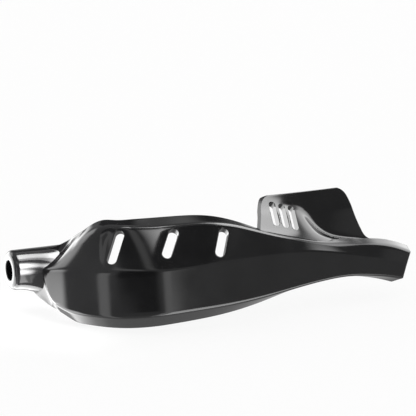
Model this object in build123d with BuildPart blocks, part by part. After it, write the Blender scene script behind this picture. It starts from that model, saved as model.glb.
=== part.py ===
"""Hand guard of a motorcycle, moulded in one piece: shield, bar-end cup, strap and raised wing."""
import os
from math import atan2, cos, degrees, pi, radians, sin

from build123d import *
from scipy.interpolate import CubicSpline

# Driving dimensions in millimetres and degrees.
# X runs inboard along the grip, -Y points forward and Z up. The bar-end cup starts at X = 0.
wall = 4.0                      # thickness of the moulding

cup_diameter = 32.0             # bar-end cup that bolts to the handlebar
cup_length = 46.0
cup_nose_radius = 6.0
bolt_recess_diameter = 16.4     # mouth for the bolt head
bolt_recess_depth = 22.0
bolt_hole_diameter = 8.5
bar_diameter = 22.2             # handlebar that seats in the inner end of the cup
bar_clearance = 0.2             # radial play of the bar in its socket
bar_socket_depth = 16.0

# Plan line of the front wall: a straight neck that leaves the cup's side, and two arcs.
neck_start_x = 16.4             # where the line starts inside the cup
neck_start_y = -6.0
sheet_start = -9.9              # distance that the line starts from, with zero at the cup's side
neck_angle = 66.0
neck_run = 35.1
corner_radius = 88.0
corner_turn = 60.0
front_radius = 868.0
strap_end = 339.5               # distance to the middle of the strap's closed end
strap_middle = -15.0            # height of that middle
strap_tilt = 28.0               # lean of the closed end
strap_skew = 6.0                # turn of the closed end in plan

edge_rounding = 1.2             # length taken off each side of an edge
crease_rounding = 2.4
fold_rounding = 3.0
section_spacing = 9.0           # distance between sections of a loft
fine_step = 1.0                 # short distance that gives the direction of a surface
run_on = 6.0                    # how far the sheets run past the closed end that trims them

front_slot_width = 7.6          # vent slots in the shield: distance, share up the panel, lean
front_slot_length = 28.5
front_slots = [(70.8, 0.55, 6), (122.3, 0.60, 24), (164.4, 0.53, 25)]
wing_slot_width = 5.8           # vent slots in the wing: distance, share up the ramp
wing_slot_length = 23.5
wing_slots = [(219.5, 0.54), (227.7, 0.505), (235.9, 0.47)]
wing_slot_lean = 9.5

wing_start = 184.0              # distance along the front line where the wing's sheet begins
wing_head = 53.2                # height of the wing's top edge
wing_trim_clearance = 0.2       # the outline passes this far above the wing's top edge
shelf_step = 0.8                # the shelf starts this far behind the strap's top edge

boss_diameter = 15.0            # rear boss for the screw of the inner clamp
boss_reach = 24.0
boss_hole_diameter = 6.4
boss_hole_depth = 14.0
boss_at = 317.0
boss_z = -8.0


def rail(*points):
    """A smooth curve through a few (distance along the front line, value) points."""
    curve = CubicSpline(*zip(*points), bc_type="natural")
    return lambda distance: float(curve(distance))


# Edges of the shield and strap, each as a height or a step back from the front line.
top_back = rail(
    (sheet_start, 7), (-3, 14.5), (5, 21), (14, 19.4), (24, 17.3), (34, 16.3), (46, 16.5), (62, 18.5),
    (100, 23.5), (135, 24), (170, 19.5), (205, 12), (240, 6.5), (280, 4), (340, 3),
)
top_z = rail(
    (sheet_start, 9.5), (-3, 11), (5, 13.4), (14, 19.8), (24, 26.3), (34, 31.2), (46, 36.8), (62, 40.1),
    (90, 39.3), (130, 38.8), (160, 39), (180, 36.3), (200, 31.2), (230, 23.3), (260, 16), (285, 11.2),
    (305, 7.6), (320, 3.6), (345, -5.3),
)
crease_z = rail(
    (sheet_start, 2.5), (5, 3), (20, 5.2), (40, 6.7), (80, 10), (120, 10.2), (160, 12.3), (200, 13.6),
    (235, 13), (270, 7), (300, 0), (345, -13.5),
)
low_back = rail(
    (sheet_start, 0.2), (10, 0), (60, -2), (100, -3), (200, -3), (260, -2.3), (345, -2),
)
low_z = rail(
    (sheet_start, -2), (1, -2.2), (4.5, -4.4), (9, -15), (14, -22), (20, -24.4), (28, -25.9), (42, -26.6),
    (70, -26.5), (100, -25.2), (135, -23.5), (170, -21.9), (200, -19.2), (230, -15.6), (255, -13.5),
    (275, -13.3), (300, -16.3), (320, -20.2), (345, -27),
)
flange_depth = rail(
    (sheet_start, 2), (-3, 2.5), (5, 4.3), (14, 6.7), (24, 8.7), (34, 10.8), (46, 13.6), (60, 15), (140, 15),
    (170, 12), (195, 7), (215, 6), (345, 6),
)
flange_rise = rail(
    (sheet_start, 5.5), (-3, 5.5), (5, 7.9), (14, 7.3), (24, 6.9), (34, 7.4), (46, 6), (62, 3), (85, 3.8),
    (110, 4.9), (140, 4.5), (170, 3.4), (195, 1.2), (215, -1), (345, -1.5),
)
lip_depth = rail(
    (sheet_start, 1.7), (-1, 4), (5, 6.4), (12, 9.2), (20, 11.2), (40, 13), (170, 12), (235, 13), (310, 12),
    (345, 8),
)
lip_drop = rail(
    (sheet_start, 13), (-5, 18), (0, 21.8), (4.5, 22.6), (9, 15.2), (14, 11.2), (20, 11.6), (28, 12.6),
    (40, 12.6), (85, 12.8), (135, 12.4), (170, 10.6), (200, 7.9), (235, 4.3), (270, 2.8), (304, 3.8),
    (345, 7.5),
)

# The vent panel's top edge steps back behind the corner and comes forward again along the front.
recess = rail(
    (sheet_start, 0), (20, 0), (40, 0), (54, 0), (61, 1.3), (68, 2.6), (85, 2.4), (120, 1.8), (160, 0.8),
    (190, 0), (230, 0), (345, 0),
)

# Folds of the wing: the back of its shelf, a soft bend half way up its wall, and its top edge.
fold_back = rail((184, 25), (228, 25), (262, 26), (345, 26))
fold_z = rail(
    (184, 41), (205, 40.6), (228, 39.6), (243, 36), (252, 28), (262, 20.3), (278, 14.6), (304, 9.4),
    (322, 5.6), (345, 0.5),
)
bend_back = rail((184, 31), (262, 30), (345, 28))
bend_z = rail((184, 45), (228, 44), (262, 40.5), (345, 38))
head_back = rail((184, 40), (262, 37), (345, 34))

# Outline that trims the wing, seen from the front as (X, Z), each with the rounding of its corner.
wing_outline = [
    ((171.5, 10), 0),
    ((199.2, wing_head + wing_trim_clearance), 9),
    ((276, wing_head + wing_trim_clearance), 10),
    ((285.5, 26), 12),
    ((296, 7.4), 8),
    ((318, 5.2), 8),
    ((strap_end + run_on, -1.8), 0),
    ((strap_end + run_on, -40), 0),
    ((171.5, -40), 0),
]


# Runs of the plan line, each a length and the angle that it turns through, forward being positive.
plan_line = [
    (neck_run, 0),
    (corner_radius * radians(corner_turn), -corner_turn),
]
front_run = strap_end + run_on - sheet_start - sum(run for run, turn in plan_line)
plan_line.append((front_run, -degrees(front_run / front_radius)))


def front_line(distance):
    """Point and heading of the front wall in plan, a distance along it from the neck."""
    x, y, heading = neck_start_x, neck_start_y, radians(neck_angle)
    left = distance - sheet_start
    for run, turn in plan_line:
        step = min(left, run)
        turned = radians(turn) * step / run
        chord = step * (2 * sin(turned / 2) / turned if turned else 1)
        x += chord * cos(heading + turned / 2)
        y -= chord * sin(heading + turned / 2)
        heading += turned
        left -= step
    return x, y, degrees(heading)


def section_plane(distance):
    """Upright plane across the front line. Its x points back into the guard and its y points up."""
    x, y, heading = front_line(distance)
    turn = radians(heading)
    return Plane(origin=(x, y, 0), x_dir=(sin(turn), cos(turn), 0), z_dir=(cos(turn), -sin(turn), 0))


def half_turn(before, corner, after):
    """Half of the angle that an outline turns through at a corner, in radians."""
    first = atan2(corner[1] - before[1], corner[0] - before[0])
    second = atan2(after[1] - corner[1], after[0] - corner[0])
    return ((second - first + pi) % (2 * pi) - pi) / 2


def step_inside(before, corner, after, depth):
    """The corner moved square to its two sides, so that it lies the depth inside both of them."""
    half = half_turn(before, corner, after)
    middle = atan2(corner[1] - before[1], corner[0] - before[0]) + half
    reach = depth / cos(half)
    return corner[0] + reach * sin(middle), corner[1] - reach * cos(middle)


def with_neighbours(points):
    """Each corner of an open outline with the corners before and after it."""
    first = (2 * points[0][0] - points[1][0], 2 * points[0][1] - points[1][1])
    last = (2 * points[-1][0] - points[-2][0], 2 * points[-1][1] - points[-2][1])
    return list(zip([first] + points[:-1], points, points[1:] + [last]))


def draw_rounded(points, roundings):
    """Straight runs from the first point to the last, with each corner between eased by its rounding."""
    here = Vector(*points[0])
    for before, corner, after, ease in zip(points, points[1:], points[2:], roundings):
        tip = Vector(*corner)
        start = tip + (Vector(*before) - tip).normalized() * ease
        finish = tip + (Vector(*after) - tip).normalized() * ease
        Line(here, start)
        Bezier(start, tip, finish)
        here = finish
    Line(here, points[-1])


def draw_sheet(points, roundings):
    """Closed outline of a sheet of the wall's thickness, whose outer side runs through the points."""
    inside = [step_inside(*corner, wall) for corner in with_neighbours(points)]
    draw_rounded(points, roundings)
    Polyline(points[-1], *inside[::-1], points[0])


def shield_points(d):
    """Corners of the shield's section, from the lower lip round the front to the upper flange."""
    return [
        (low_back(d) + lip_depth(d), low_z(d) - lip_drop(d)),
        (low_back(d), low_z(d)),
        (0, crease_z(d)),
        (top_back(d) + recess(d), top_z(d)),
        (top_back(d) + flange_depth(d), top_z(d) + flange_rise(d)),
    ]


def wing_points(d):
    """Corners of the wing's section, from the strap's top edge back along the shelf and up the wall."""
    return [
        (top_back(d) + shelf_step, top_z(d) - shelf_step / 2),
        (fold_back(d), fold_z(d)),
        (bend_back(d), bend_z(d)),
        (head_back(d), wing_head),
    ]


def panel(d):
    """The two ends of the vent panel's section, from the crease to the top edge."""
    return shield_points(d)[2:4]


def ramp(d):
    """The two ends of the wing's section."""
    return wing_points(d)[0], wing_points(d)[-1]


def spot(ends, distance, share):
    """Point in space a share of the way from one end of a section's run to the other."""
    (back, low), (far, high) = ends(distance)
    return section_plane(distance).from_local_coords(
        Vector(back + (far - back) * share, low + (high - low) * share)
    )


def slot_plane(ends, distance, share, lean):
    """Plane square to a run of the section, with x along a slot that leans its top inboard."""
    here = spot(ends, distance, share)
    up = spot(ends, distance, 1) - spot(ends, distance, 0)
    along = spot(ends, distance + fine_step, share) - here
    return Plane(origin=here, x_dir=up, z_dir=along.cross(up)) * Rot(0, 0, -lean)


def stations(start, end):
    """Distances of the sections from one end of a loft to the other, evenly spaced up to the last."""
    count = round((end - start) / section_spacing)
    return [start + section_spacing * i for i in range(count)] + [end]


# Plane of the strap's closed end.
end_plane = section_plane(strap_end) * Pos(0, strap_middle, 0) * Rot(strap_tilt, strap_skew, 0)

# Shield, strap and lower lip, as one bent sheet.
with BuildPart() as shield:
    for distance in stations(sheet_start, strap_end + run_on):
        with BuildSketch(section_plane(distance)):
            with BuildLine():
                draw_sheet(shield_points(distance), [edge_rounding, crease_rounding, edge_rounding])
            make_face()
    loft()

# Wing, as a second sheet that rises from the strap's top edge, trimmed to its outline.
with BuildPart() as wing:
    for distance in stations(wing_start, strap_end + run_on):
        with BuildSketch(section_plane(distance)):
            with BuildLine():
                draw_sheet(wing_points(distance), [fold_rounding, fold_rounding])
            make_face()
    loft()
    with BuildSketch(Plane.XZ):
        with BuildLine():
            corners = [corner for corner, ease in wing_outline]
            draw_rounded(corners + corners[:1], [ease for corner, ease in wing_outline[1:]])
        make_face()
    extrude(amount=strap_end, both=True, mode=Mode.INTERSECT)

# The whole moulding: the sheets joined to the cup, the closed end and the rear boss, then vented and bored.
with BuildPart() as guard_shell:
    add(shield.part)
    add(wing.part)
    with BuildSketch(Plane.XZ):
        with BuildLine():
            nose_start = (0, cup_diameter / 2 - cup_nose_radius)
            nose_end = (cup_nose_radius, cup_diameter / 2)
            Polyline((cup_length, 0), (0, 0), nose_start)
            RadiusArc(nose_start, nose_end, cup_nose_radius)
            Polyline(nose_end, (cup_length, cup_diameter / 2), (cup_length, 0))
        make_face()
    revolve(axis=Axis.X)
    with BuildSketch(end_plane):
        with BuildLine():
            outer = shield_points(strap_end)[:4] + wing_points(strap_end)[1:2]
            inner = [step_inside(*corner, wall / 2) for corner in with_neighbours(outer)]
            slope = cos(radians(strap_tilt))
            Polyline([(back, (high - strap_middle) / slope) for back, high in inner], close=True)
        make_face()
    extrude(amount=-wall)
    with BuildSketch(end_plane):
        Rectangle(strap_end, strap_end)
    extrude(amount=strap_end, mode=Mode.SUBTRACT)
    boss_plane = Plane(
        origin=section_plane(boss_at).from_local_coords(Vector(wall / 2, boss_z)),
        z_dir=section_plane(boss_at).x_dir,
    )
    with BuildSketch(boss_plane):
        Circle(boss_diameter / 2)
    extrude(amount=boss_reach)
    with Locations(boss_plane.offset(boss_reach)):
        Hole(boss_hole_diameter / 2, depth=boss_hole_depth)
    for distance, share, lean in front_slots:
        with BuildSketch(slot_plane(panel, distance, share, lean)):
            SlotOverall(front_slot_length, front_slot_width)
        extrude(amount=2 * wall, both=True, mode=Mode.SUBTRACT)
    for distance, share in wing_slots:
        with BuildSketch(slot_plane(ramp, distance, share, wing_slot_lean)):
            SlotOverall(wing_slot_length, wing_slot_width)
        extrude(amount=2 * wall, both=True, mode=Mode.SUBTRACT)
    with Locations(Plane(origin=(0, 0, 0), x_dir=(0, 1, 0), z_dir=(-1, 0, 0))):
        CounterBoreHole(
            bolt_hole_diameter / 2, bolt_recess_diameter / 2, bolt_recess_depth, depth=cup_length
        )
    with Locations(Plane(origin=(cup_length, 0, 0), x_dir=(0, 1, 0), z_dir=(1, 0, 0))):
        Hole(bar_diameter / 2 + bar_clearance, depth=bar_socket_depth)

os.makedirs("parts", exist_ok=True)
guard_shell.part.label = "guard_shell"
export_step(guard_shell.part, "parts/guard_shell.step")
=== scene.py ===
# %% [markdown]
# # A motorcycle hand guard in gloss black plastic
# The guard is one injection moulding: a cup that bolts to the end of the handlebar, a curved shield
# with three vents, a strap that runs inboard, and a raised wing with three more vents. The packed
# model is the fixed frame here. It has the right form, but its edges are sharp and its vent panel
# has no step, so this lesson makes the same form again as one finer mesh, and then gives it a
# finish, a floor and light.

# %% Load the frame
import math

import bmesh
import bpy
import numpy as np
from mathutils import Matrix, Vector


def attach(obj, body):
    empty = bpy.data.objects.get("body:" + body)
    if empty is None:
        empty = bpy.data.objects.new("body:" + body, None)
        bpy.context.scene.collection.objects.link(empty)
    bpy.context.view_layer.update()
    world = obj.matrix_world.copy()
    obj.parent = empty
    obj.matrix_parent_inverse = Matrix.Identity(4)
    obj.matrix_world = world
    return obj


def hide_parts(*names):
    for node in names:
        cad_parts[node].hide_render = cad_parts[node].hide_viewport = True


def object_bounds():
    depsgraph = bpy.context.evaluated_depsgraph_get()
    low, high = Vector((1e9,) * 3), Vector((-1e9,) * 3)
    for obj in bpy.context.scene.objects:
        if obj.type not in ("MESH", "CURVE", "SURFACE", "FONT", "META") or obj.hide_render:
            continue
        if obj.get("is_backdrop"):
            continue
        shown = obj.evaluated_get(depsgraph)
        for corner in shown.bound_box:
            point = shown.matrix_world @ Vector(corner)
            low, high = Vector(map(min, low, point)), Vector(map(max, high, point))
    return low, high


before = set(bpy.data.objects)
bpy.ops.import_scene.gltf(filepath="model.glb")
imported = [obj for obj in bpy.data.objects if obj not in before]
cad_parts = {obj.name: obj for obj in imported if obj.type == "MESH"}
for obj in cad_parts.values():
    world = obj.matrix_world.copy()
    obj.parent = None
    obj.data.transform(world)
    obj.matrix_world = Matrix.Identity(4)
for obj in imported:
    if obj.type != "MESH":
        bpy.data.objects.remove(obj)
cad_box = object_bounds()
MM = 0.001
print("nodes:", sorted(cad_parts))
print("box in mm:", [[round(value / MM, 1) for value in corner] for corner in cad_box])

# %% [markdown]
# ## Camera
# The view is from the front, a little to the left and above. A long lens keeps the proportions of
# the guard as a shop picture shows them. The camera's three axes come from its two angles, so that
# either can be changed alone.

# %% Place the camera
VIEW_AZIMUTH = math.radians(-26)
VIEW_ELEVATION = math.radians(13)
CAMERA_AT = Vector((-0.36447, -1.11062, 0.31866))
LENS_MM = 129.8

right = Vector((math.cos(VIEW_AZIMUTH), math.sin(VIEW_AZIMUTH), 0))
toward = Vector((
    math.sin(VIEW_AZIMUTH) * math.cos(VIEW_ELEVATION),
    -math.cos(VIEW_AZIMUTH) * math.cos(VIEW_ELEVATION),
    math.sin(VIEW_ELEVATION),
))
turn = Matrix((right, toward.cross(right), toward)).transposed()
camera = bpy.data.objects.new("camera", bpy.data.cameras.new("camera"))
camera.data.lens = LENS_MM
camera.matrix_world = Matrix.Translation(CAMERA_AT) @ turn.to_4x4()
bpy.context.scene.collection.objects.link(camera)
bpy.context.scene.camera = camera
print("camera at", [round(value, 3) for value in CAMERA_AT])

# %% [markdown]
# ## The line that the guard follows
# Seen from above, the front wall leaves the side of the cup at a slant, turns a corner and runs on
# in a long shallow arc. Every section of the guard stands square across this line, so a place on
# the guard is a distance along the line, a step back from it and a height. Straight runs and arcs
# describe such a line with very few numbers. All lengths are in millimetres until a mesh is made.

# %% Plan line
SHEET_START = -9.9  # where the wall leaves the side of the cup
STRAP_END = 339.5
RUN_ON = 15.0  # how far the sheets run past the strap's end, before that is cut
LINE_START = (16.4, -6.0, math.radians(66))  # x, y and heading
NECK_RUN = 35.1
CORNER_RADIUS = 88.0
CORNER_TURN = math.radians(60)
FRONT_RADIUS = 868.0
FRONT_RUN = STRAP_END + RUN_ON - SHEET_START - NECK_RUN - CORNER_RADIUS * CORNER_TURN
LINE_RUNS = [
    (NECK_RUN, 0),
    (CORNER_RADIUS * CORNER_TURN, -CORNER_TURN),
    (FRONT_RUN, -FRONT_RUN / FRONT_RADIUS),
]


def front_line(distance):
    """Point and heading of the front wall in plan, a distance along it."""
    x, y, heading = LINE_START
    left = distance - SHEET_START
    for run, turn in LINE_RUNS:
        step = min(left, run)
        turned = turn * step / run
        chord = step * (2 * math.sin(turned / 2) / turned if turned else 1)
        x += chord * math.cos(heading + turned / 2)
        y -= chord * math.sin(heading + turned / 2)
        heading += turned
        left -= step
    return x, y, heading


def in_space(distance, outline):
    """A section's (back, height) points as points in space."""
    x, y, heading = front_line(distance)
    back, height = np.asarray(outline, float).T
    return np.stack([x + back * math.sin(heading), y + back * math.cos(heading), height], axis=1)


print("the strap ends at", [round(value, 1) for value in front_line(STRAP_END)[:2]])

# %% [markdown]
# ## Edges that swell and taper
# The shield's edges rise and fall along the guard. On the real mould they are smooth curves that a
# designer laid through a few points. A natural cubic curve through a few (distance, value) points
# gives the same flow, and a point can be moved without making a kink.

# %% Smooth curves through a few points
def rail(*points):
    """A smooth curve through a few (distance along the guard, value) points."""
    at, value = np.array(points, float).T
    gap = np.diff(at)
    slope = np.diff(value) / gap
    system = np.eye(len(at))
    pull = np.zeros(len(at))
    for i in range(1, len(at) - 1):
        system[i, i - 1:i + 2] = gap[i - 1], 2 * (gap[i - 1] + gap[i]), gap[i]
        pull[i] = 6 * (slope[i] - slope[i - 1])
    bend = np.linalg.solve(system, pull)

    def curve(distance):
        i = np.clip(np.searchsorted(at, distance) - 1, 0, len(gap) - 1)
        after, before, run = at[i + 1] - distance, distance - at[i], gap[i]
        arch = (bend[i] * after**3 + bend[i + 1] * before**3) / (6 * run)
        start = (value[i] / run - bend[i] * run / 6) * after
        return arch + start + (value[i + 1] / run - bend[i + 1] * run / 6) * before

    return curve


# %% Edges of the shield and strap
top_back = rail(
    (-9.9, 7), (-3, 14.5), (5, 21), (14, 19.4), (24, 17.3), (34, 16.3), (46, 16.5), (62, 18.5),
    (100, 23.5), (135, 24), (170, 19.5), (205, 12), (240, 6.5), (280, 3.4), (310, 1.6), (345, 1.2),
)
top_z = rail(
    (-9.9, 9.5), (-3, 11), (5, 13.4), (14, 19.8), (24, 26.3), (34, 31.2), (46, 36.8), (62, 40.1),
    (90, 39.3), (130, 38.8), (160, 39), (180, 36.3), (200, 31.2), (230, 23.3), (260, 16),
    (285, 11.2), (300, 9.4), (316, 6.8), (329, 3.4), (345, -2.8),
)
crease_z = rail(
    (-9.9, 2.5), (5, 3), (20, 5.2), (40, 6.7), (80, 10), (120, 10.2), (160, 12.3), (200, 13.6),
    (235, 13), (270, 7), (300, 0), (345, -13.5),
)
low_back = rail((-9.9, 0.2), (10, 0), (60, -2), (100, -3), (200, -3), (260, -2.3), (345, -2))
low_z = rail(
    (-9.9, -2), (1, -2.2), (4.5, -4.4), (9, -15), (14, -22), (20, -24.4), (28, -25.9), (42, -26.6),
    (70, -26.5), (100, -25.2), (135, -23.5), (170, -21.9), (200, -19.2), (230, -15.6), (255, -13.5),
    (275, -13.3), (300, -16.3), (320, -20.2), (345, -27),
)
flange_depth = rail(
    (-9.9, 2), (-3, 2.5), (5, 4.3), (14, 6.7), (24, 8.7), (34, 10.8), (46, 13.6), (60, 15),
    (140, 15), (170, 12), (195, 7), (215, 6), (345, 6.5),
)
flange_rise = rail(
    (-9.9, 5.5), (-3, 5.5), (5, 7.9), (14, 7.3), (24, 6.9), (34, 7.4), (46, 6), (62, 3), (85, 3.8),
    (110, 4.9), (140, 4.5), (170, 3.4), (195, 1.2), (215, -1), (245, -0.3), (262, 2.2), (280, 4),
    (300, 4.5), (345, 4.5),
)
lip_depth = rail(
    (-9.9, 1.7), (-1, 4), (5, 6.4), (12, 9.2), (20, 11.2), (40, 13), (170, 12), (235, 13),
    (310, 12), (345, 8),
)
lip_drop = rail(
    (-9.9, 16.5), (-5, 20.8), (0, 23.6), (4.5, 24.2), (9, 16), (14, 11.4), (20, 11.6), (28, 12.6),
    (40, 12.6), (85, 12.8), (135, 12.4), (170, 10.6), (200, 7.9), (235, 4.3), (270, 2.8),
    (304, 3.8), (345, 7.5),
)
print("the shield stands", round(float(top_z(90) - low_z(90)), 1), "mm high at its middle")

# %% [markdown]
# ## The step round the vent panel
# Where the shield bends round, the panel that holds the vents is set back by a couple of
# millimetres, and a bent step leads down to it. In black gloss this step is one of the few lines
# that the eye can follow. A step painted with a bump would vanish from the outline, so the surface
# itself moves: each point of the panel goes back by an amount that rises smoothly over a few
# millimetres, and over more of them near the top edge.

# %% Recess of the vent panel
recess_depth = rail(
    (40, 2.6), (68, 2.6), (85, 2.4), (120, 1.8), (160, 0.8), (190, 0), (230, 0), (345, 0),
)
# Where the step lies and how long it is, by the share of the way up from the crease.
recess_edge = rail((0, 70), (0.12, 64.5), (0.44, 59.7), (0.72, 58.4), (1, 60))
recess_run = rail((0, 5), (0.3, 5), (0.55, 5), (0.8, 8), (1, 16))


def recess(distance, share):
    """How far the vent panel steps back, at a share of the way up from the crease."""
    along = np.clip((distance - recess_edge(share)) / recess_run(share) + 0.5, 0, 1)
    return recess_depth(distance) * along * along * (3 - 2 * along)


print("the panel steps back", round(float(recess(75, 1)), 1), "mm")

# %% [markdown]
# ## Sections with soft corners
# A moulding has no truly sharp edge, because plastic doesn't fill one and a mould maker can't
# polish one. Each corner of a section is therefore a short curve between its two runs. The number
# of points is the same in every section, so that neighbouring sections can be skinned point to
# point. The inner side is the outer side moved in by the wall's thickness.

# %% Rounded outlines
CORNER_STEPS = 5


def eased(corners, roundings, steps, corner_steps=CORNER_STEPS):
    """Points round a closed outline, with each corner eased and each run cut into steps."""
    corners = np.asarray(corners, float)
    before = np.roll(corners, 1, axis=0) - corners
    after = np.roll(corners, -1, axis=0) - corners
    ease = np.asarray(roundings, float)[:, None]
    start = corners + ease * before / np.linalg.norm(before, axis=1)[:, None]
    finish = corners + ease * after / np.linalg.norm(after, axis=1)[:, None]
    points = []
    for i, corner in enumerate(corners):
        for t in np.linspace(0, 1, corner_steps):
            points.append(start[i] * (1 - t)**2 + corner * 2 * t * (1 - t) + finish[i] * t * t)
        far = start[(i + 1) % len(corners)]
        for t in np.arange(1, steps[i]) / steps[i]:
            points.append(finish[i] + (far - finish[i]) * t)
    return np.array(points)


# %% The inner side of a wall
def inside(points, depth):
    """The open outline moved square to its runs by a depth."""
    points = [np.asarray(point, float) for point in points]
    chain = [2 * points[0] - points[1]] + points + [2 * points[-1] - points[-2]]
    moved = []
    for before, corner, after in zip(chain, chain[1:], chain[2:]):
        first = math.atan2(*(corner - before)[::-1])
        second = math.atan2(*(after - corner)[::-1])
        half = ((second - first + math.pi) % (2 * math.pi) - math.pi) / 2
        reach = depth / math.cos(half)
        moved.append(corner + reach * np.array([math.sin(first + half), -math.cos(first + half)]))
    return moved


WALL = 4.0
SOFT_END = 0.7
SOFT_INSIDE = 0.8


def sheet_section(corners, roundings, steps):
    """Closed outline of a sheet as thick as the wall, with its outer side through the corners."""
    inner = inside(corners, WALL)[::-1]
    outer_roundings = [SOFT_END] + roundings + [SOFT_END]
    inner_roundings = [SOFT_END] + [SOFT_INSIDE] * len(roundings) + [SOFT_END]
    return eased(list(corners) + inner, outer_roundings + inner_roundings, steps)


print("a wall", WALL, "mm thick, with ends eased by", SOFT_END, "mm")

# %% [markdown]
# ## A skin through the sections
# The simplest closed mesh is a row of rings joined by quads, with a cap at each end. It could be a
# curve object with a bevel, but a bevel keeps one shape along its whole length, and here every
# section differs.

# %% Skin
def skin(name, rings):
    """A closed mesh through rings of points in millimetres, capped at both ends."""
    rings = np.asarray(rings, float)
    count, around = rings.shape[:2]
    faces = [tuple(range(around)), tuple(range((count - 1) * around, count * around))]
    for i in range(count - 1):
        for j in range(around):
            k = (j + 1) % around
            here, there = i * around, (i + 1) * around
            faces.append((here + j, here + k, there + k, there + j))
    mesh = bpy.data.meshes.new(name)
    mesh.from_pydata((rings.reshape(-1, 3) * MM).tolist(), [], faces)
    work = bmesh.new()
    work.from_mesh(mesh)
    bmesh.ops.recalc_face_normals(work, faces=work.faces)
    work.to_mesh(mesh)
    work.free()
    piece = bpy.data.objects.new(name, mesh)
    bpy.context.scene.collection.objects.link(piece)
    print(name, "has", len(mesh.polygons), "faces")
    return piece


# %% [markdown]
# ## Shield and strap
# The shield is the wall in front of the hand. Its section goes from the lower lip, round the low
# edge, up the front to the styling crease, back along the vent panel, and up into the flange at the
# top. Further inboard the same section narrows into the strap. Sections every 1.3 mm are close
# enough that the light runs smoothly over them.

# %% Shield
STATION = 1.3
LOW_EDGE = 2.0
crease_round = rail((-9.9, 2.4), (95, 2.4), (130, 1.2), (160, 0.9), (345, 0.9))
top_round = rail(
    (-9.9, 2.5), (5, 3.6), (20, 5), (40, 6.4), (60, 5), (80, 3), (110, 2.4), (345, 2.4),
)
# Steps of the outer side's runs, across the upper end, of the inner side's, across the lower end.
LIP_STEPS, FRONT_STEPS, PANEL_STEPS, FLANGE_STEPS = 8, 14, 18, 8
INNER_STEPS = [4, 8, 7, 4]
SHIELD_STEPS = [LIP_STEPS, FRONT_STEPS, PANEL_STEPS, FLANGE_STEPS, 1] + INNER_STEPS + [1]


def shield_corners(d):
    """Corners of the shield's section, from the lower lip round the front to the upper flange."""
    return [
        (low_back(d) + lip_depth(d), low_z(d) - lip_drop(d)),
        (low_back(d), low_z(d)),
        (0, crease_z(d)),
        (top_back(d) + recess(d, 1), top_z(d)),
        (top_back(d) + flange_depth(d), top_z(d) + flange_rise(d)),
    ]


def shield_section(d):
    """The shield's section with its eased corners and the bent step of its vent panel."""
    corners = shield_corners(d)
    outline = sheet_section(corners, [LOW_EDGE, crease_round(d), top_round(d)], SHIELD_STEPS)
    low, high = np.array(corners[2]), np.array(corners[3])
    run = high - low
    first = 3 * CORNER_STEPS + LIP_STEPS - 1 + FRONT_STEPS - 1  # the first point above the crease
    for i in range(first, first + PANEL_STEPS - 1 + CORNER_STEPS):
        share = min(float(np.dot(outline[i] - low, run) / np.dot(run, run)), 1)
        outline[i][0] += share * (recess(d, share) - recess(d, 1))
    return outline


def stations(start, end):
    """Distances of the sections from one end of a sheet to the other."""
    return np.linspace(start, end, round((end - start) / STATION) + 1)


guard = skin("guard_moulding", [
    in_space(d, shield_section(d)) for d in stations(SHEET_START, STRAP_END + RUN_ON)
])

# %% [markdown]
# ## Wing
# Behind the strap's top edge a shelf runs back, and the wing rises from it: low and soft at its
# right end, and leaning far back at its left. Towards the strap's closed end the shelf has a slight
# crown. It is a second sheet that overlaps the first, because one section with both would need very
# different points along the way.

# %% Wing sheet
WING_START, WING_HEAD, SHELF_STEP, CROWN_SHARE = 184.0, 53.2, 0.8, 0.28
CROWN_ROUND, FOLD_ROUND = 2.0, 3.0
WING_STEPS = [5, 10, 6, 6, 1, 4, 4, 8, 4, 1]  # in the same order as the shield's
fold_back = rail((184, 25), (228, 25), (262, 26), (345, 26))
fold_z = rail(
    (184, 41), (205, 40.6), (232, 39.6), (248, 36), (257, 28), (267, 19.8), (281, 13.6), (304, 8.4),
    (322, 4), (345, -2.5),
)
bend_back = rail((184, 31), (262, 30), (345, 28))
bend_z = rail((184, 45), (228, 44), (262, 40.5), (345, 38))
head_back = rail((184, 40), (262, 37), (345, 34))
crown_rise = rail((184, 0), (240, 0), (255, 0.8), (270, 2.2), (290, 2.8), (320, 3), (345, 3))


def wing_section(d):
    """The wing's section, from the strap's top edge back along the shelf and up the wall."""
    front = np.array([top_back(d) + SHELF_STEP, top_z(d) - SHELF_STEP / 2])
    fold = np.array([fold_back(d), fold_z(d)])
    crown = front + (fold - front) * CROWN_SHARE + (0, crown_rise(d))
    corners = [front, crown, fold, (bend_back(d), bend_z(d)), (head_back(d), WING_HEAD)]
    return sheet_section(corners, [CROWN_ROUND, FOLD_ROUND, FOLD_ROUND], WING_STEPS)


wing = skin("wing", [
    in_space(d, wing_section(d)) for d in stations(WING_START, STRAP_END + RUN_ON)
])

# %% [markdown]
# ## Joining and cutting
# Plastic flows together in the mould, so the sheets, the cup and the boss have to become one closed
# surface. Boolean modifiers do that. The Manifold solver is quick on closed meshes like these, and
# its result is closed too.

# %% Boolean steps
def combine(base, operation, *tools):
    """The base joined with the tools, cut by them, or kept where they overlap."""
    for tool in tools:
        step = base.modifiers.new(tool.name, "BOOLEAN")
        step.operation = operation
        step.solver = "MANIFOLD"
        step.object = tool
    shaped = base.evaluated_get(bpy.context.evaluated_depsgraph_get())
    result = bpy.data.meshes.new_from_object(shaped)
    base.modifiers.clear()
    base.data = result
    for tool in tools:
        bpy.data.objects.remove(tool)
    print(base.name, operation.lower(), "gives", len(result.polygons), "faces")


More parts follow.
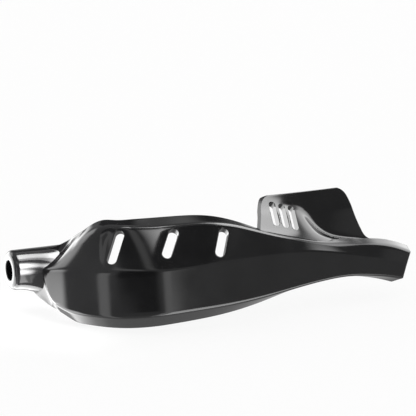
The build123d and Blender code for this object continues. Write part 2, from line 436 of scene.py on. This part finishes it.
# %% Trim the wing to its outline
# The place along the bar and the height of each corner, and its rounding.
WING_OUTLINE = [
    ((171.5, 10), 0.1), ((199.2, 53.4), 9), ((276, 53.4), 10), ((285.5, 26), 12), ((296, 7.4), 8),
    ((318, 3.6), 8), ((350, -6), 0.1), ((350, -40), 0.1), ((171.5, -40), 0.1),
]
TRIM_DEPTH, TRIM_STEPS = 150.0, 9
corners, roundings = zip(*WING_OUTLINE)
flat = eased(corners, roundings, [1] * len(corners), corner_steps=TRIM_STEPS)
ring = np.stack([flat[:, 0], np.zeros(len(flat)), flat[:, 1]], axis=1)
combine(wing, "INTERSECT", skin("wing_outline", [
    ring - (0, TRIM_DEPTH, 0), ring + (0, TRIM_DEPTH, 0),
]))

# %% [markdown]
# ## Cup
# The cup is a short thick tube with a rounded nose. Towards the neck it flares, mostly downwards,
# so that it runs into the shield without a hard corner. A cylinder with a bevel would do for the
# nose, but not for the flare, so the cup is a skin through circles, each with its own radius and
# its own drop.

# %% Cup
CUP_RADIUS, CUP_LENGTH, CUP_NOSE, CUP_RIM = 16.0, 46.0, 4.5, 0.6
CUP_SIDES, NOSE_STEPS, CUP_STEP = 96, 11, 1.0
FLARE_DROP = 1.05  # how far a circle sinks for each millimetre of its flare
flare = rail((0, 0), (5, 0), (12, 0.5), (20, 1.9), (28, 3.6), (34, 3.4), (40, 1.4), (46, 0))
nose = [
    (CUP_NOSE * (1 - math.cos(a)), CUP_RADIUS - CUP_NOSE * (1 - math.sin(a)))
    for a in np.linspace(0, math.pi / 2, NOSE_STEPS)
]
body = [
    (t, CUP_RADIUS + flare(t))
    for t in np.arange(CUP_NOSE + CUP_STEP, CUP_LENGTH - CUP_RIM, CUP_STEP)
]
angle = np.linspace(0, 2 * math.pi, CUP_SIDES, endpoint=False)
circle = np.stack([np.zeros(CUP_SIDES), np.cos(angle), np.sin(angle)], axis=1)
cup = skin("cup", [
    circle * r + (t, 0, -FLARE_DROP * flare(t))
    for t, r in nose + body + [(CUP_LENGTH, CUP_RADIUS - CUP_RIM)]
])

# %% [markdown]
# ## Closed end of the strap
# The strap ends in a slanted cut that is closed by a wall. A plate in the form of the strap's
# square section would stick out at one corner and leave a gap at another, because the slanted cut
# meets each edge of the strap at another distance. So each edge is followed along the guard until
# it meets the cut's plane, and the plate is drawn between those points.

# %% Closed end of the strap
STRAP_MIDDLE, STRAP_TILT, STRAP_SKEW = -15.0, math.radians(28), math.radians(6)
SEARCH_STEPS = 8  # each step lands closer to the plane
x, y, heading = front_line(STRAP_END)
back = np.array([math.sin(heading), math.cos(heading), 0])
along = np.array([math.cos(heading), -math.sin(heading), 0])
upright = np.array([0, 0, 1.0])
end_middle = np.array([x, y, STRAP_MIDDLE])
end_up = upright * math.cos(STRAP_TILT) + along * math.sin(STRAP_TILT)
end_level = along * math.cos(STRAP_TILT) - upright * math.sin(STRAP_TILT)
end_out = back * math.sin(STRAP_SKEW) + end_level * math.cos(STRAP_SKEW)
end_back = back * math.cos(STRAP_SKEW) - end_level * math.sin(STRAP_SKEW)


def strap_corners(d):
    """Corners of the strap's section, with the fold behind its shelf."""
    return shield_corners(d) + [(fold_back(d), fold_z(d))]


def end_outline(depth):
    """The strap's corners on the end's plane, moved in by a depth, as (back, up) on it."""
    middle = end_middle - end_out * depth
    corners = []
    for i in range(len(strap_corners(STRAP_END))):
        d = STRAP_END
        for _ in range(SEARCH_STEPS):
            point = in_space(d, strap_corners(d)[i:i + 1])[0] - middle
            d -= float(point @ end_out) / float(along @ end_out)
        corners.append((point @ end_back, point @ end_up))
    return corners


def on_end(points, depth):
    """Flat (back, up) points laid on the end's plane, moved in by a depth."""
    points = np.asarray(points, float)
    return end_middle - end_out * depth + points @ np.array([end_back, end_up])


plate = np.array(inside(end_outline(0), WALL / 2))
end_wall = skin("end_wall", [on_end(plate, WALL), on_end(plate, -WALL)])

# %% [markdown]
# The edge round this end is soft. A bevel modifier would also catch the other edges that run into
# it. Here a keeping shape does it: at the end it has the strap's outline, drawn in along a quarter
# circle, and further back it is wider than the whole guard. Whatever lies outside it is cut off
# later.

# %% Rounded cut of the strap's end
END_ROUND, END_STEPS = 3.0, 7
FAR, HAIR = 400.0, 0.01
rings = []
for a in np.linspace(0, math.pi / 2, END_STEPS):
    depth = END_ROUND * (1 - math.cos(a))
    corners = end_outline(depth)
    inset = inside(corners[-1:] + corners + corners[:1], END_ROUND * (1 - math.sin(a)))[1:-1]
    rings.append(on_end(inset, depth))
wide = np.array(corners) - np.mean(corners, axis=0)
wide *= FAR / np.abs(wide).max()
for depth in (END_ROUND, FAR):
    rings.append(on_end(wide, depth + HAIR))
end_keep = skin("end_keep", rings)

# %% [markdown]
# ## Boss behind the strap
# Such a guard is held at its inner end by a clamp, and the clamp's screw goes into a pillar behind
# the strap. The pillar is round, so it is turned from a profile of distances along an axis and
# radii, as on a lathe. The cutters of the bores are turned in the same way further on.

# %% Turned shapes and the boss
def turned(name, profile, centre, axis, sides=CUP_SIDES):
    """A round solid from (distance along the axis, radius) points."""
    side = np.cross(axis, (0, 0, 1.0))
    other = np.cross(axis, side)
    angle = np.linspace(0, 2 * math.pi, sides, endpoint=False)
    circle = np.outer(np.cos(angle), side) + np.outer(np.sin(angle), other)
    return skin(name, [centre + np.multiply(axis, t) + circle * r for t, r in profile])


BOSS_AT, BOSS_Z, BOSS_RADIUS, BOSS_REACH, BOSS_RIM = 317.0, -8.0, 7.5, 24.0, 0.6
x, y, heading = front_line(BOSS_AT)
boss_axis = np.array([math.sin(heading), math.cos(heading), 0])
boss_foot = np.array([x, y, BOSS_Z]) + boss_axis * WALL / 2
boss = turned("boss", [
    (0, BOSS_RADIUS), (BOSS_REACH - BOSS_RIM, BOSS_RADIUS), (BOSS_REACH, BOSS_RADIUS - BOSS_RIM),
], boss_foot, boss_axis, sides=64)

# %% [markdown]
# ## Vents
# The six vents are long slots that are cut square to the surface. Each has a small rounded rim in
# front and a low collar behind, which makes the wall look deeper when the eye looks into the slot.
# One outline, swept through a few depths, gives both the collar and the cutter.

# %% Slot shapes
RIM, RIM_STEPS, CAP_STEPS = 0.7, 6, 13
CUT_FRONT, CUT_BACK = 3.0, -11.0
COLLAR_WIDTH, COLLAR_BACK = 2.2, -7.0


def spot(ends, distance, share):
    """Point in space a share of the way from one end of a section's run to the other."""
    low, high = (np.asarray(end, float) for end in ends(distance))
    return in_space(distance, [low + (high - low) * share])[0]


def slot(name, ends, place, size, depths):
    """A long slot standing square to the surface, swept through (depth, widening) pairs."""
    distance, share, lean = place
    length, width = size
    here = spot(ends, distance, share)
    up = spot(ends, distance, 1) - spot(ends, distance, 0)
    up /= np.linalg.norm(up)
    out = np.cross(spot(ends, distance + 1, share) - here, up)
    out /= np.linalg.norm(out)
    lean = math.radians(lean)
    slot_up = up * math.cos(lean) + np.cross(up, out) * math.sin(lean)
    slot_side = np.cross(out, slot_up)
    angle = np.linspace(-math.pi / 2, math.pi / 2, CAP_STEPS)
    rings = []
    for depth, widening in depths:
        radius = width / 2 + widening
        reach = (length - width) / 2 + radius * np.cos(angle)
        cap = np.stack([reach, radius * np.sin(angle)], axis=1)
        both = np.concatenate([cap, -cap])
        rings.append(here + out * depth + both @ np.array([slot_up, slot_side]))
    return skin(name, rings)


rounded = [
    (-RIM * (1 - math.sin(a)), RIM * (1 - math.cos(a)))
    for a in np.linspace(0, math.pi / 2, RIM_STEPS)
]
CUTTER = [(CUT_BACK, 0)] + rounded + [(CUT_FRONT, RIM + CUT_FRONT)]
COLLAR = [(COLLAR_BACK, COLLAR_WIDTH), (-WALL / 2, COLLAR_WIDTH)]
print("a rim of", RIM, "mm and a collar", COLLAR_WIDTH, "mm wide")

# %% Places of the vents
# A place is a distance along the guard, a share of the way up and a lean in degrees.
FRONT_WIDTH, WING_SLOT, WING_LEAN = 7.6, (23.5, 5.8), 9.5
FRONT_SLOTS = [((70.8, 0.55, 9), 28.5), ((122.3, 0.61, 29), 28.0), ((164.4, 0.50, 25), 25.5)]
WING_SLOTS = [(219.5, 0.54, WING_LEAN), (227.7, 0.505, WING_LEAN), (235.9, 0.47, WING_LEAN)]


def panel(d):
    """The two ends of the vent panel's section, from the crease to the top edge."""
    return shield_corners(d)[2:4]


def ramp(d):
    """The two ends of the wing's section."""
    return (top_back(d) + SHELF_STEP, top_z(d) - SHELF_STEP / 2), (head_back(d), WING_HEAD)


vents = [("front_vent", panel, place, (length, FRONT_WIDTH)) for place, length in FRONT_SLOTS]
vents += [("wing_vent", ramp, place, WING_SLOT) for place in WING_SLOTS]
collars = [slot(f"{name}_collar", ends, place, size, COLLAR) for name, ends, place, size in vents]
cutters = [slot(name, ends, place, size, CUTTER) for name, ends, place, size in vents]

# %% [markdown]
# ## Bores
# The cup is bored in steps: a recess for the head of the bar-end bolt, a hole for its shank, and a
# socket that slips over the end of the handlebar. The boss has a blind hole for its screw. Each
# mouth has a small bevel, which is part of the turned cutter and so needs no modifier of its own.

# %% Bores
GRIP_AXIS = np.array([1.0, 0, 0])
CUP_END = np.zeros(3)
BOLT_RECESS, BOLT_HOLE, BAR_SOCKET = 8.2, 4.25, 11.3  # radii
RECESS_DEPTH, SOCKET_DEPTH, BEVEL = 22.0, 16.0, 0.5
RECESS_MOUTH = [(-1, 1.7), (0, 0.7), (0.2, 0.35), (0.7, 0)]  # (depth, widening)
socket_floor = CUP_LENGTH - SOCKET_DEPTH
bore = [(depth, BOLT_RECESS + widening) for depth, widening in RECESS_MOUTH]
bore += [(RECESS_DEPTH, BOLT_RECESS), (RECESS_DEPTH, BOLT_HOLE), (socket_floor, BOLT_HOLE)]
bore += [(socket_floor, BAR_SOCKET), (CUP_LENGTH - BEVEL, BAR_SOCKET)]
bore += [(CUP_LENGTH + BEVEL, BAR_SOCKET + 2 * BEVEL)]
cutters.append(turned("cup_bores", bore, CUP_END, GRIP_AXIS))

SCREW_RADIUS, SCREW_FLOOR, SCREW_BEVEL, PAST_END = 3.2, 10.0, 0.4, 0.2
screw = [
    (SCREW_FLOOR, SCREW_RADIUS),
    (BOSS_REACH - SCREW_BEVEL, SCREW_RADIUS),
    (BOSS_REACH + PAST_END, SCREW_RADIUS + SCREW_BEVEL + PAST_END),
]
cutters.append(turned("screw_hole", screw, boss_foot, boss_axis, sides=48))

# %% [markdown]
# ## One moulding
# All that is plastic is joined first. Then the strap's end is cut. The vents and bores come last,
# so that no wall or collar closes them again.

# %% One moulding
combine(guard, "UNION", wing, cup, end_wall, boss, *collars)
combine(guard, "INTERSECT", end_keep)
combine(guard, "DIFFERENCE", *cutters)

# %% [markdown]
# ## Shading of the mesh
# Gloss shows every flaw of the normals. Faces that meet at a small angle are shaded as one surface,
# true edges stay sharp, and large faces have the most say over the normals near a join, so that no
# dark smear shows round the vents. The new mesh then stands for the plain solid and rides where it
# did.

# %% Smooth shading
SHARP_ANGLE = math.radians(32)
mesh = guard.data
mesh.polygons.foreach_set("use_smooth", [True] * len(mesh.polygons))
mesh.set_sharp_from_angle(angle=SHARP_ANGLE)
even = guard.modifiers.new("even_shading", "WEIGHTED_NORMAL")
even.keep_sharp = True
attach(guard, "root")
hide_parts("guard_shell")
print("moulding:", len(mesh.vertices), "vertices")

# %% [markdown]
# ## Gloss black plastic
# The guard is polypropylene, coloured black right through and moulded against polished steel. That
# gives a clear, wet-looking gloss over a neutral black that is not quite zero. What the eye reads
# as plastic and not as lacquer is the small unevenness: a slow waviness where the wall shrank as it
# cooled, a faint haze from handling that changes the gloss from place to place, paler and duller
# edges where it has been rubbed, and a few specks of dust.

# %% Node helper and colours
def node(tree, kind, inputs=(), **settings):
    """Adds a node, gives it its settings, and sets or links its inputs."""
    made = tree.nodes.new(kind)
    for name, value in settings.items():
        setattr(made, name, value)
    for socket, value in dict(inputs).items():
        if isinstance(value, bpy.types.NodeSocket):
            tree.links.new(value, made.inputs[socket])
        else:
            made.inputs[socket].default_value = value
    return made


def linear(code):
    """An sRGB hex colour as linear red, green, blue and alpha."""
    parts = [int(code[i:i + 2], 16) / 255 for i in (1, 3, 5)]
    return [c / 12.92 if c <= 0.04045 else ((c + 0.055) / 1.055)**2.4 for c in parts] + [1]


# The Mix node's sockets for colours and for plain numbers, which share their names.
COLOUR_A, COLOUR_B, COLOUR_MIXED = 6, 7, 2
NUMBER_A, NUMBER_B, NUMBER_MIXED = 2, 3, 0
PLASTIC_IOR = 1.49
BLACK = linear("#0e0e0f")
plastic = bpy.data.materials.new("polypropylene_gloss_black_moulded")
plastic.use_nodes = True
tree = plastic.node_tree
shader = tree.nodes["Principled BSDF"]
shader.inputs["IOR"].default_value = PLASTIC_IOR
where = node(tree, "ShaderNodeTexCoord").outputs["Object"]
print("black in linear light:", [round(value, 4) for value in BLACK[:3]])

# %% [markdown]
# The haze is a soft cloud pattern about 25 mm across. It moves the black between two close tones
# and the roughness between that of a fresh polished moulding and one that has been wiped many
# times. The rubbed edges come from how sharply the mesh bends, which Blender gives as pointiness:
# 0.5 is flat, and an outer edge is above it.

# %% Haze and rubbed edges
HAZE_MM, HAZE_CONTRAST = 25.0, (0.35, 0.65)
HAZED_BLACK, RUBBED_BLACK = linear("#131314"), linear("#2b2b2c")
RUBBED_FROM, RUBBED_FULLY = 0.53, 0.62
FRESH_ROUGH, WIPED_ROUGH, RUBBED_ROUGH = 0.08, 0.13, 0.32
haze = node(tree, "ShaderNodeTexNoise", {"Vector": where, "Scale": 1 / (HAZE_MM * MM), "Detail": 3})
haze_share = node(tree, "ShaderNodeMapRange", {
    "Value": haze.outputs["Fac"], "From Min": HAZE_CONTRAST[0], "From Max": HAZE_CONTRAST[1],
}).outputs["Result"]
pointiness = node(tree, "ShaderNodeNewGeometry").outputs["Pointiness"]
rubbed = node(tree, "ShaderNodeMapRange", {
    "Value": pointiness, "From Min": RUBBED_FROM, "From Max": RUBBED_FULLY,
}).outputs["Result"]
wear = node(tree, "ShaderNodeMath", {
    0: rubbed, 1: haze_share,
}, operation="MULTIPLY").outputs["Value"]
black = node(tree, "ShaderNodeMix", {
    "Factor": haze_share, COLOUR_A: BLACK, COLOUR_B: HAZED_BLACK,
}, data_type="RGBA").outputs[COLOUR_MIXED]
worn = node(tree, "ShaderNodeMix", {
    "Factor": wear, COLOUR_A: black, COLOUR_B: RUBBED_BLACK,
}, data_type="RGBA").outputs[COLOUR_MIXED]
gloss = node(tree, "ShaderNodeMapRange", {
    "Value": haze_share, "To Min": FRESH_ROUGH, "To Max": WIPED_ROUGH,
}).outputs["Result"]
dulled = node(tree, "ShaderNodeMapRange", {
    "Value": wear, "To Min": gloss, "To Max": RUBBED_ROUGH,
}).outputs["Result"]
print("roughness from", FRESH_ROUGH, "to", WIPED_ROUGH, "and", RUBBED_ROUGH, "on rubbed edges")

# %% [markdown]
# Dust lies where it fell, one speck here and there. A cell pattern with 24 mm cells puts one point
# in each cell, and only the cells with a low random number show theirs. Real specks are a tenth to
# a third of a millimetre across and would be lost in the picture, so they are drawn 0.7 mm across.

# %% Dust
DUST_CELL_MM, SPECK_MM, DUSTY_SHARE = 24.0, 0.7, 0.3
DUST_GREY, DUST_ROUGH = linear("#8f8b84"), 0.7
cells = node(tree, "ShaderNodeTexVoronoi", {"Vector": where, "Scale": 1 / (DUST_CELL_MM * MM)})
speck = node(tree, "ShaderNodeMath", {
    0: cells.outputs["Distance"], 1: SPECK_MM / 2 / DUST_CELL_MM,
}, operation="LESS_THAN").outputs["Value"]
chance = node(tree, "ShaderNodeSeparateColor", {"Color": cells.outputs["Color"]}).outputs["Red"]
dusty = node(tree, "ShaderNodeMath", {
    0: chance, 1: DUSTY_SHARE,
}, operation="LESS_THAN").outputs["Value"]
dust = node(tree, "ShaderNodeMath", {
    0: speck, 1: dusty,
}, operation="MULTIPLY").outputs["Value"]
dusted = node(tree, "ShaderNodeMix", {
    "Factor": dust, COLOUR_A: worn, COLOUR_B: DUST_GREY,
}, data_type="RGBA").outputs[COLOUR_MIXED]
tree.links.new(dusted, shader.inputs["Base Color"])
roughness = node(tree, "ShaderNodeMapRange", {
    "Value": dust, "To Min": dulled, "To Max": DUST_ROUGH,
}).outputs["Result"]
tree.links.new(roughness, shader.inputs["Roughness"])
print("a speck of dust in", DUSTY_SHARE, "of the cells")

# %% [markdown]
# The waviness is 30 mm long and a few hundredths of a millimetre deep. It can't be seen in the
# form, but it makes the edge of a reflection wander, as it does on every large gloss moulding.
# Under it lies a finer ripple from the polished steel. The real one is about 0.2 mm long and would
# only make noise at this size, so it is drawn 3 mm long.

# %% Waviness of the surface
SHRINK_MM, SHRINK_DEPTH_MM, POLISH_MM, POLISH_DEPTH_MM = 30.0, 0.05, 3.0, 0.002
shrink = node(tree, "ShaderNodeTexNoise", {
    "Vector": where, "Scale": 1 / (SHRINK_MM * MM), "Detail": 1,
})
polish = node(tree, "ShaderNodeTexNoise", {
    "Vector": where, "Scale": 1 / (POLISH_MM * MM), "Detail": 2,
})
slow = node(tree, "ShaderNodeBump", {
    "Height": shrink.outputs["Fac"], "Strength": 1.0, "Distance": SHRINK_DEPTH_MM * MM,
})
fine = node(tree, "ShaderNodeBump", {
    "Height": polish.outputs["Fac"], "Strength": 1.0, "Distance": POLISH_DEPTH_MM * MM,
    "Normal": slow.outputs["Normal"],
})
tree.links.new(fine.outputs["Normal"], shader.inputs["Normal"])
guard.data.materials.clear()
guard.data.materials.append(plastic)
print("plastic has", len(tree.nodes), "nodes")

# %% [markdown]
# ## Floor
# A sheet of white paper lies just under the lip. For the camera it is mostly white by itself, as
# paper is in a bright studio, and the rest of its brightness comes from the light that falls on it,
# so the guard's shadow stays. The gloss of the guard looks past the paper into the studio. Real
# fibres are far too fine to see at this size, so the paper's mottle is drawn 5 mm across.

# %% Paper floor
FLOOR_GAP, FLOOR_SIZE = 0.0005, 24.0  # metres
PAPER_GLOW, PAPER_ROUGH, FIBRE_MM = 0.88, 0.9, 5.0
PAPER_WHITE, FIBRE_WHITE = linear("#f4f4f3"), linear("#f8f8f8")
low_corner, high_corner = cad_box
middle = (low_corner + high_corner) / 2
floor_at = (middle.x, middle.y, low_corner.z - FLOOR_GAP)
bpy.ops.mesh.primitive_plane_add(size=FLOOR_SIZE, location=floor_at)
floor = bpy.context.object
floor.name = "floor"
floor.visible_glossy = False
paper = bpy.data.materials.new("white_matt_paper")
paper.use_nodes = True
sheet = paper.node_tree
matt = sheet.nodes["Principled BSDF"]
matt.inputs["Roughness"].default_value = PAPER_ROUGH
fibre = node(sheet, "ShaderNodeTexNoise", {
    "Vector": node(sheet, "ShaderNodeTexCoord").outputs["Object"], "Scale": 1 / (FIBRE_MM * MM),
})
tone = node(sheet, "ShaderNodeMix", {
    "Factor": fibre.outputs["Fac"], COLOUR_A: PAPER_WHITE, COLOUR_B: FIBRE_WHITE,
}, data_type="RGBA")
sheet.links.new(tone.outputs[COLOUR_MIXED], matt.inputs["Base Color"])
seen = node(sheet, "ShaderNodeMath", {
    0: node(sheet, "ShaderNodeLightPath").outputs["Is Camera Ray"], 1: PAPER_GLOW,
}, operation="MULTIPLY")
white = node(sheet, "ShaderNodeEmission")
lit = node(sheet, "ShaderNodeMixShader", {
    "Fac": seen.outputs["Value"], 1: matt.outputs["BSDF"], 2: white.outputs["Emission"],
})
sheet.links.new(lit.outputs["Shader"], sheet.nodes["Material Output"].inputs["Surface"])
floor.data.materials.append(paper)
floor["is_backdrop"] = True
print("floor", round(-floor_at[2] / MM, 1), "mm below the cup's axis")

# %% [markdown]
# ## Studio
# Black gloss has no colour of its own to show, so its look is the studio that it mirrors: tall
# strip lights at the front, a dark room between them, a window to the left and a large one to the
# right and above. Each could be a lamp with a frame, but lamps have hard edges, and here the light
# fades off softly. So the world holds them, as soft patches in given directions. Azimuth 0 is in
# front, and grows to the right.
#
# The camera and clear things see plain white, and matt things get an even light of a plain level.
# Only gloss mirrors the patches.

# %% Directions
SURROUND, EVEN_LIGHT = 0.5, 0.9  # between the patches, and on matt things
world = bpy.data.worlds.new("studio")
bpy.context.scene.world = world
world.use_nodes = True
world.cycles.sampling_method = "NONE"
sky = world.node_tree
facing = node(sky, "ShaderNodeTexCoord").outputs["Generated"]
axes = node(sky, "ShaderNodeSeparateXYZ", {0: facing})
ahead = node(sky, "ShaderNodeMath", {0: axes.outputs["Y"], 1: -1.0}, operation="MULTIPLY")
azimuth = node(sky, "ShaderNodeMath", {
    0: axes.outputs["X"], 1: ahead.outputs["Value"],
}, operation="ARCTAN2").outputs["Value"]
elevation = node(sky, "ShaderNodeMath", {
    0: axes.outputs["Z"],
}, operation="ARCSINE").outputs["Value"]
print("even light on matt things:", EVEN_LIGHT)

# %% Soft patches of light and dark
# Azimuths and elevations, how soft the sides and the lower and upper edges are, and the strength.
# All angles are in degrees. A later patch covers an earlier one.
PATCHES = {
    "pale_ground": ((-180, 180), (-90, -32), 1, 20, 0.65),
    "left_ground": ((-180, -70), (-66, -38), 20, 16, 1.3),
    "low_front_light": ((2, 46), (-66, -20), 10, 10, 6.0),
    "dark_room": ((-46, -3), (-8, 36), 8, 1.6, 0.04),
    "far_wall": ((32, 62), (-2, 56), 6, 5, 0.28),
    "dark_ceiling": ((-70, 50), (57, 90), 10, 6, 0.14),
    "ceiling_strip": ((-6, 9), (57, 90), 8, 6, 1.0),
    "front_high_strip": ((-62, -16), (43, 55), 8, 4, 1.2),
    "left_strip": ((-67, -55), (-70, 16), 4, 8, 2.05),
    "right_strip": ((3, 12), (-70, 16), 3, 8, 1.94),
    "left_window": ((-178, -111), (-50, 16), 12, 14, 5.5),
    "left_low_window": ((-128, -96), (-52, -21), 8, 6, 6.0),
    "left_high_window": ((-162, -132), (18, 42), 14, 8, 3.0),
    "shelf_light": ((130, 156), (-8, 24), 8, 6, 1.3),
    "dark_back": ((140, 180), (22, 47), 6, 5, 0.08),
    "back_light": ((148, 154), (48, 60), 4, 5, 0.9),
    "right_low_window": ((64, 124), (8, 46), 10, 10, 5.4),
    "right_window": ((54, 126), (51, 71), 8, 3, 10.0),
}
level = SURROUND
for name, (around, height, soft_side, soft_edge, strength) in PATCHES.items():
    shares = []
    for angle, (start, end), soft in ((azimuth, around, soft_side), (elevation, height, soft_edge)):
        centre, half = (start + end) / 2, (end - start) / 2
        off = node(sky, "ShaderNodeMath", {0: angle, 1: math.radians(centre)}, operation="SUBTRACT")
        away = node(sky, "ShaderNodeMath", {0: off.outputs["Value"]}, operation="ABSOLUTE")
        shares.append(node(sky, "ShaderNodeMapRange", {
            "Value": away.outputs["Value"], "To Min": 1, "To Max": 0,
            "From Min": math.radians(half - soft / 2), "From Max": math.radians(half + soft / 2),
        }, interpolation_type="SMOOTHSTEP").outputs["Result"])
    share = node(sky, "ShaderNodeMath", {
        0: shares[0], 1: shares[1],
    }, operation="MULTIPLY", label=name).outputs["Value"]
    level = node(sky, "ShaderNodeMix", {
        "Factor": share, NUMBER_A: level, NUMBER_B: strength,
    }).outputs[NUMBER_MIXED]
print("studio:", ", ".join(PATCHES))

# %% What each kind of ray sees
ray = node(sky, "ShaderNodeLightPath").outputs
mirrored = node(sky, "ShaderNodeMix", {
    "Factor": ray["Is Glossy Ray"], NUMBER_A: EVEN_LIGHT, NUMBER_B: level,
}).outputs[NUMBER_MIXED]
direct = node(sky, "ShaderNodeMath", {
    0: ray["Is Camera Ray"], 1: ray["Is Transmission Ray"],
}, operation="MAXIMUM").outputs["Value"]
brightness = node(sky, "ShaderNodeMix", {
    "Factor": direct, NUMBER_A: mirrored, NUMBER_B: 1.0,
}).outputs[NUMBER_MIXED]
background = sky.nodes["Background"]
background.inputs["Color"].default_value = (1, 1, 1, 1)
sky.links.new(brightness, background.inputs["Strength"])
bpy.context.scene.view_settings.view_transform = "Standard"
print("the world has", len(sky.nodes), "nodes")

# %% [markdown]
# ## Light on the cup
# The cup stands nearest to the edge of the studio and is far brighter than the rest. Four slim
# panels close to it do that, two in front and two above. Their spread is narrow, like that of a
# lamp with a honeycomb grid, so the shield beside the cup doesn't mirror them. A small bounce card
# lies on the paper under the cup and throws light up at its underside, with no grid.

# %% Slim panels and a bounce card
GRID, OPEN = math.radians(40), math.radians(180)
PANEL_AWAY, CARD_AWAY = 0.15, 0.0375
# The place along the cup, the azimuth and elevation in degrees, the distance, the size, the spread
# and the watts. Lengths are in metres.
CUP_LIGHTS = {
    "cup_front": (-0.003, (18, -3), PANEL_AWAY, (0.048, 0.120), GRID, 0.034),
    "cup_top": (0.012, (85, 71), PANEL_AWAY, (0.090, 0.090), GRID, 0.020),
    "cup_front_high": (-0.001, (22, 29), PANEL_AWAY, (0.052, 0.150), GRID, 0.055),
    "cup_above": (0.018, (46, 54), PANEL_AWAY, (0.060, 0.110), GRID, 0.014),
    "bounce_card": (0.003, (0, -89), CARD_AWAY, (0.034, 0.028), OPEN, 0.020),
}
for name, (at, direction, away, size, spread, watts) in CUP_LIGHTS.items():
    side, height = (math.radians(angle) for angle in direction)
    aim = Vector((
        math.sin(side) * math.cos(height),
        -math.cos(side) * math.cos(height),
        math.sin(height),
    ))
    lamp = bpy.data.lights.new(name, "AREA")
    lamp.shape = "RECTANGLE"
    lamp.size, lamp.size_y = size
    lamp.spread = spread
    lamp.energy = watts
    holder = bpy.data.objects.new(name, lamp)
    turn = aim.to_track_quat("Z", "Y").to_matrix().to_4x4()
    holder.matrix_world = Matrix.Translation(Vector((at, 0, 0)) + aim * away) @ turn
    holder.visible_camera = False
    bpy.context.scene.collection.objects.link(holder)
print("lights at the cup:", ", ".join(CUP_LIGHTS))

# %% [markdown]
# ## Sizes
# The finer mesh has to stay in the solid's box. Both boxes are printed, so that they can be compared.

# %% Sizes
visual_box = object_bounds()
boxes = {"cad": [list(corner) for corner in cad_box], "visual": [list(corner) for corner in visual_box]}
for name, box in boxes.items():
    print(name, [[round(value / MM, 2) for value in corner] for corner in box])
